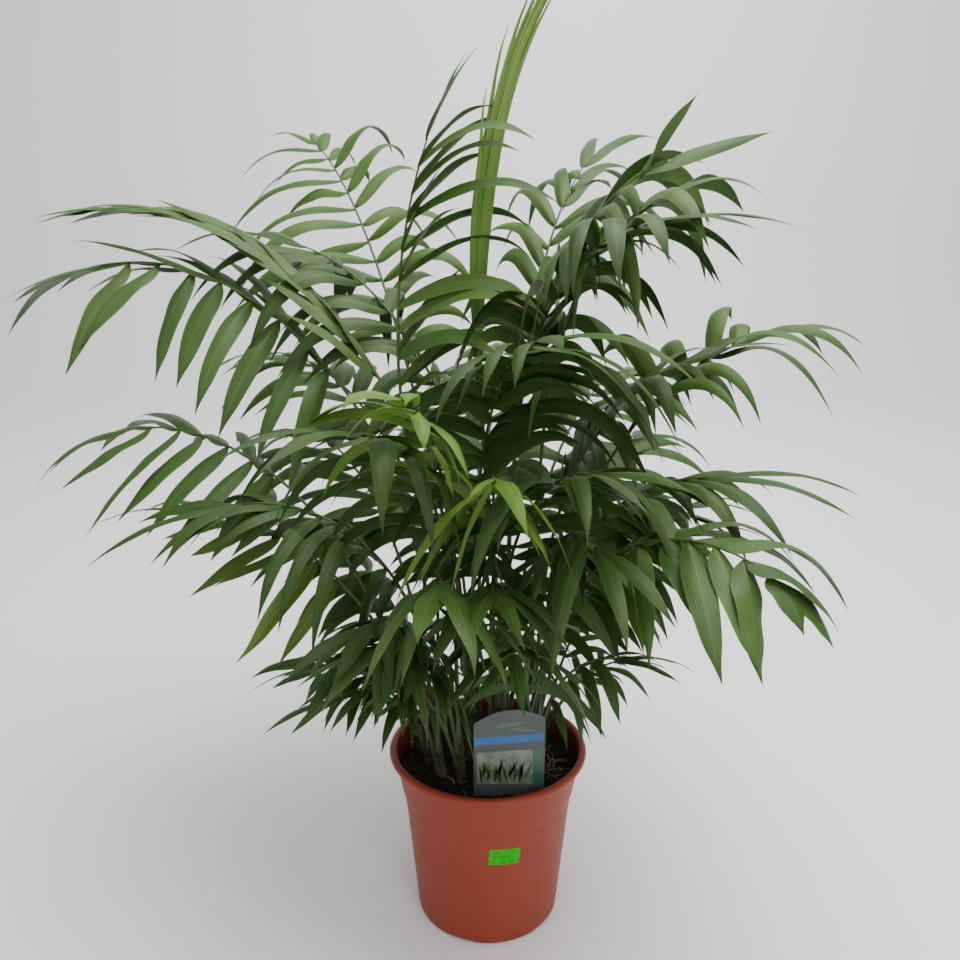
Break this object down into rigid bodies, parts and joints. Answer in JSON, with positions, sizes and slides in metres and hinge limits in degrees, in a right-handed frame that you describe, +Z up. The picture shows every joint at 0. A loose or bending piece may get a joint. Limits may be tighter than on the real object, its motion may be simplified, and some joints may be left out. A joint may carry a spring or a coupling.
{
  "type": "potted parlour palm",
  "caption": "A bushy parlour palm of many slender canes with arching feather fronds, standing in a tapered plastic nursery pot filled with compost, with a plant label.",
  "frame": {"origin": "centre of the pot's flat underside", "axes": "+Z up along the pot's axis, +X to the right of the side that carries the label, +Y away from that side"},
  "size_m": [0.7299, 0.7452, 0.7864],
  "materials": {
    "pot": "terracotta coloured plastic, satin, lightly scuffed",
    "compost": "dark crumbly potting compost with fine roots",
    "label": "thin printed plastic card, glossy",
    "cane": "slender green-brown ringed cane with leaf sheaths",
    "frond": "deep green leaflets with a soft sheen",
    "young_frond": "fresh light green leaflets",
    "spear": "yellow-green folded young leaf"
  },
  "bodies": {
    "root": {"cane_back": "cane", "cane_back_east": "cane", "cane_back_west": "cane", "cane_east": "cane", "cane_far_back": "cane", "cane_front": "cane", "cane_front_east": "cane", "cane_front_west": "cane", "cane_inner_west": "cane", "cane_middle_back": "cane", "cane_middle_front": "cane", "cane_middle_left": "cane", "cane_west": "cane", "compost": "compost", "frond_back_1": "frond", "frond_back_2": "frond", "frond_back_3": "frond", "frond_back_4": "frond", "frond_back_5": "frond", "frond_back_6": "frond", "frond_back_7": "frond", "frond_front_left": "frond", "frond_front_left_skirt": "frond", "frond_front_middle": "frond", "frond_inner_1": "frond", "frond_inner_2": "frond", "frond_inner_3": "frond", "frond_inner_4": "frond", "frond_inner_5": "frond", "frond_inner_6": "frond", "frond_inner_7": "frond", "frond_inner_8": "frond", "frond_left_high": "frond", "frond_left_lower": "frond", "frond_left_middle": "frond", "frond_left_skirt": "frond", "frond_left_upper": "frond", "frond_right_front": "frond", "frond_right_high": "frond", "frond_right_middle": "frond", "frond_right_skirt": "frond", "frond_skirt_1": "frond", "frond_skirt_2": "frond", "frond_skirt_3": "frond", "frond_skirt_4": "frond", "frond_skirt_5": "frond", "frond_skirt_6": "frond", "frond_skirt_7": "frond", "frond_skirt_8": "frond", "frond_skirt_9": "frond", "frond_top_left": "frond", "frond_top_middle": "frond", "frond_top_right": "frond", "frond_young_left": "young_frond", "frond_young_middle": "young_frond", "label": "label", "pot": "pot", "seedling_left": "frond", "seedling_right": "frond", "spear": "spear"}
  },
  "joints": []
}
